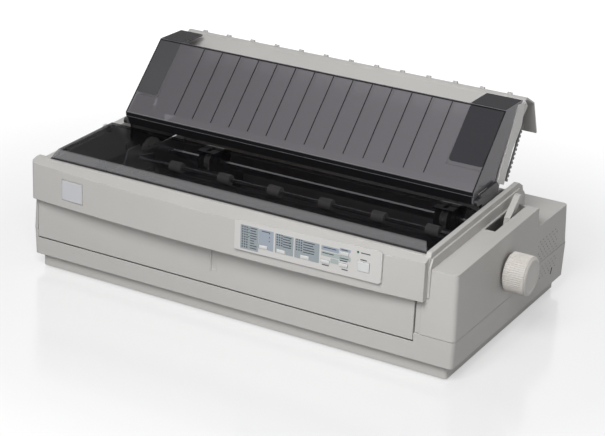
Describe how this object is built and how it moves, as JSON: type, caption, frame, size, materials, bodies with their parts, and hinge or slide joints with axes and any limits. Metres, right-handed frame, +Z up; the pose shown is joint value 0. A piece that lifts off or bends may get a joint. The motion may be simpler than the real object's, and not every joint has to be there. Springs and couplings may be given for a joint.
{
  "type": "dot matrix printer",
  "caption": "Wide desk-top impact printer with smoked hinged covers, a tilting paper guide, a grooved platen knob and a push-button panel over a fold-down front.",
  "frame": {"origin": "centre of the bounding box on the plane of the feet", "axes": "+X to the knob, along the platen; +Y to the rear; +Z up"},
  "size_m": [0.639, 0.3633, 0.2685],
  "materials": {
    "case": "fine-grained light warm grey moulding",
    "guide": "fine-grained light grey moulding",
    "knob": "smooth off-white moulding",
    "smoked_cover": "polished dark smoked plastic",
    "smoked_guide": "polished smoked plastic, a little lighter",
    "panel": "smooth off-white overlay",
    "button": "smooth off-white keys",
    "circuit": "green circuit board with dark parts",
    "power": "tan circuit board with heavy parts",
    "steel": "zinc-plated sheet",
    "rod": "ground and polished rod",
    "motor": "dark motor cans with plated shafts",
    "rubber": "dull black rubber",
    "black": "black glass-filled moulding",
    "head": "black die casting with fins",
    "nylon": "natural nylon gears and rollers",
    "brass": "brass pinion",
    "blue_lever": "blue-grey lever"
  },
  "bodies": {
    "case": {"lower_case": "case", "feet": "rubber", "upper_case": "case", "panel_plate": "panel", "panel_board": "circuit", "platen_bushes": "black", "feed_motor": "motor", "left_frame": "steel", "right_frame": "steel", "base_plate": "steel", "carriage_shaft": "rod", "head_rail": "steel", "timing_belt": "rubber", "carriage_motor": "motor", "ribbon_cartridge": "black", "tractor_rod": "rod", "main_board": "circuit", "power_board": "power", "mains_inlet": "black", "signal_connector": "steel", "guide_brackets": "black", "case_screws": "steel", "paper_pan": "steel"},
    "front_cover": {"front_cover": "case"},
    "printer_cover": {"printer_cover": "smoked_cover"},
    "guide_cover": {"guide_cover": "smoked_guide"},
    "paper_guide": {"paper_guide": "guide"},
    "left_edge_guide": {"left_edge_guide": "guide"},
    "right_edge_guide": {"right_edge_guide": "guide"},
    "release": {"release_lever": "guide", "release_shaft": "rod"},
    "platen": {"platen_roller": "rubber", "platen_shaft": "rod", "platen_knob": "knob", "platen_gear": "nylon"},
    "feed_pinion": {"feed_pinion": "brass"},
    "tractor_idler": {"tractor_idler": "nylon"},
    "carriage": {"carriage": "black", "print_head": "head"},
    "motor_pulley": {"motor_pulley": "brass"},
    "idler_pulley": {"idler_pulley": "nylon"},
    "ribbon_knob": {"ribbon_knob": "black"},
    "paper_bail": {"paper_bail": "rod"},
    "bail_rollers": {"bail_rollers": "nylon"},
    "tractor_shaft": {"tractor_shaft": "rod"},
    "left_tractor": {"left_tractor": "black"},
    "right_tractor": {"right_tractor": "black"},
    "left_tractor_cover": {"left_tractor_cover": "black"},
    "right_tractor_cover": {"right_tractor_cover": "black"},
    "left_sprocket": {"left_sprocket": "nylon"},
    "right_sprocket": {"right_sprocket": "nylon"},
    "thickness_lever": {"thickness_lever": "blue_lever"},
    "pressure_rollers": {"pressure_rollers": "black"},
    "font_button": {"font_button": "button"},
    "pitch_button": {"pitch_button": "button"},
    "tear_button": {"tear_button": "button"},
    "load_button": {"load_button": "button"},
    "feed_button": {"feed_button": "button"},
    "pause_button": {"pause_button": "button"},
    "operate_button": {"operate_button": "button"}
  },
  "joints": [
    {"name": "front_cover_hinge", "type": "hinge", "parent": "case", "child": "front_cover", "pos_m": [-0.0385, -0.1571, 0.0475], "axis": [1, 0, 0], "range_deg": [0, 75]},
    {"name": "printer_cover_hinge", "type": "hinge", "parent": "case", "child": "printer_cover", "pos_m": [-0.0275, -0.0243, 0.1576], "axis": [-1, 0, 0], "range_deg": [0, 52]},
    {"name": "guide_cover_hinge", "type": "hinge", "parent": "case", "child": "guide_cover", "pos_m": [-0.0175, -0.0143, 0.172], "axis": [1, 0, 0], "range_deg": [0, 32]},
    {"name": "paper_guide_hinge", "type": "hinge", "parent": "case", "child": "paper_guide", "pos_m": [-0.0175, 0.0537, 0.158], "axis": [-1, 0, 0], "range_deg": [0, 37]},
    {"name": "left_edge_guide_slide", "type": "slide", "parent": "paper_guide", "child": "left_edge_guide", "axis": [1, 0, 0], "range_m": [-0.032, 0.18]},
    {"name": "right_edge_guide_slide", "type": "slide", "parent": "paper_guide", "child": "right_edge_guide", "axis": [1, 0, 0], "range_m": [-0.2, 0.026]},
    {"name": "font_button_press", "type": "slide", "parent": "case", "child": "font_button", "axis": [-0.0332, 0.9994, 0], "range_m": [0, 0.0009], "stiffness_N_per_m": 400, "springref_m": -0.0015},
    {"name": "pitch_button_press", "type": "slide", "parent": "case", "child": "pitch_button", "axis": [-0.0332, 0.9994, 0], "range_m": [0, 0.0009], "stiffness_N_per_m": 400, "springref_m": -0.0015},
    {"name": "tear_button_press", "type": "slide", "parent": "case", "child": "tear_button", "axis": [-0.0332, 0.9994, 0], "range_m": [0, 0.0009], "stiffness_N_per_m": 400, "springref_m": -0.0015},
    {"name": "load_button_press", "type": "slide", "parent": "case", "child": "load_button", "axis": [-0.0332, 0.9994, 0], "range_m": [0, 0.0009], "stiffness_N_per_m": 400, "springref_m": -0.0015},
    {"name": "feed_button_press", "type": "slide", "parent": "case", "child": "feed_button", "axis": [-0.0332, 0.9994, 0], "range_m": [0, 0.0009], "stiffness_N_per_m": 400, "springref_m": -0.0015},
    {"name": "pause_button_press", "type": "slide", "parent": "case", "child": "pause_button", "axis": [-0.0332, 0.9994, 0], "range_m": [0, 0.0009], "stiffness_N_per_m": 400, "springref_m": -0.0015},
    {"name": "operate_button_press", "type": "slide", "parent": "case", "child": "operate_button", "axis": [-0.0332, 0.9994, 0], "range_m": [0, 0.0009], "stiffness_N_per_m": 400, "springref_m": -0.0015},
    {"name": "release_lever_turn", "type": "hinge", "parent": "case", "child": "release", "pos_m": [0.0105, -0.0143, 0.058], "axis": [1, 0, 0], "range_deg": [0, 28]},
    {"name": "platen_turn", "type": "hinge", "parent": "case", "child": "platen", "pos_m": [-0.0075, -0.0119, 0.0935], "axis": [1, 0, 0], "continuous": true},
    {"name": "feed_pinion_turn", "type": "hinge", "parent": "case", "child": "feed_pinion", "pos_m": [-0.2685, 0.01516, 0.07787], "axis": [1, 0, 0], "continuous": true},
    {"name": "tractor_idler_turn", "type": "hinge", "parent": "case", "child": "tractor_idler", "pos_m": [-0.2685, 0.0347, 0.10945], "axis": [1, 0, 0], "continuous": true},
    {"name": "tractor_shaft_turn", "type": "hinge", "parent": "case", "child": "tractor_shaft", "pos_m": [-0.0155, 0.0747, 0.105], "axis": [1, 0, 0], "continuous": true},
    {"name": "left_tractor_slide", "type": "slide", "parent": "case", "child": "left_tractor", "axis": [1, 0, 0], "range_m": [-0.038, 0.12]},
    {"name": "right_tractor_slide", "type": "slide", "parent": "case", "child": "right_tractor", "axis": [1, 0, 0], "range_m": [-0.15, 0.045]},
    {"name": "left_sprocket_turn", "type": "hinge", "parent": "left_tractor", "child": "left_sprocket", "pos_m": [-0.1955, 0.0747, 0.105], "axis": [1, 0, 0], "continuous": true},
    {"name": "right_sprocket_turn", "type": "hinge", "parent": "right_tractor", "child": "right_sprocket", "pos_m": [0.1625, 0.0747, 0.105], "axis": [1, 0, 0], "continuous": true},
    {"name": "left_tractor_cover_hinge", "type": "hinge", "parent": "left_tractor", "child": "left_tractor_cover", "pos_m": [-0.1955, 0.1007, 0.1064], "axis": [-1, 0, 0], "range_deg": [0, 100]},
    {"name": "right_tractor_cover_hinge", "type": "hinge", "parent": "right_tractor", "child": "right_tractor_cover", "pos_m": [0.1625, 0.1007, 0.1064], "axis": [-1, 0, 0], "range_deg": [0, 100]},
    {"name": "paper_bail_hinge", "type": "hinge", "parent": "case", "child": "paper_bail", "pos_m": [-0.0155, 0.0257, 0.112], "axis": [-1, 0, 0], "range_deg": [0, 35]},
    {"name": "bail_rollers_turn", "type": "hinge", "parent": "paper_bail", "child": "bail_rollers", "pos_m": [-0.0155, -0.0068, 0.1196], "axis": [1, 0, 0], "continuous": true},
    {"name": "carriage_slide", "type": "slide", "parent": "case", "child": "carriage", "axis": [1, 0, 0], "range_m": [0, 0.348]},
    {"name": "motor_pulley_turn", "type": "hinge", "parent": "case", "child": "motor_pulley", "pos_m": [0.2065, -0.0823, 0.056], "axis": [0, 1, 0], "continuous": true},
    {"name": "idler_pulley_turn", "type": "hinge", "parent": "case", "child": "idler_pulley", "pos_m": [-0.2475, -0.0823, 0.056], "axis": [0, 1, 0], "continuous": true},
    {"name": "ribbon_knob_turn", "type": "hinge", "parent": "case", "child": "ribbon_knob", "pos_m": [-0.2405, -0.0763, 0.115], "axis": [0, 0, 1], "continuous": true},
    {"name": "pressure_rollers_turn", "type": "hinge", "parent": "case", "child": "pressure_rollers", "pos_m": [-0.0075, 0.0297, 0.066], "axis": [1, 0, 0], "range_deg": [0, 3.5]},
    {"name": "thickness_lever_turn", "type": "hinge", "parent": "case", "child": "thickness_lever", "pos_m": [-0.2685, -0.0603, 0.066], "axis": [-1, 0, 0], "range_deg": [0, 22]}
  ],
  "couplings": [
    {"joint": "feed_pinion_turn", "follows": "platen_turn", "ratio": -4.1667},
    {"joint": "tractor_idler_turn", "follows": "platen_turn", "ratio": -1.0417},
    {"joint": "tractor_shaft_turn", "follows": "platen_turn", "ratio": 1.5625},
    {"joint": "left_sprocket_turn", "follows": "platen_turn", "ratio": 1.5625},
    {"joint": "right_sprocket_turn", "follows": "platen_turn", "ratio": 1.5625},
    {"joint": "motor_pulley_turn", "follows": "carriage_slide", "rad_per_m": 125},
    {"joint": "idler_pulley_turn", "follows": "carriage_slide", "rad_per_m": 125},
    {"joint": "pressure_rollers_turn", "follows": "release_lever_turn", "ratio": 0.125}
  ]
}
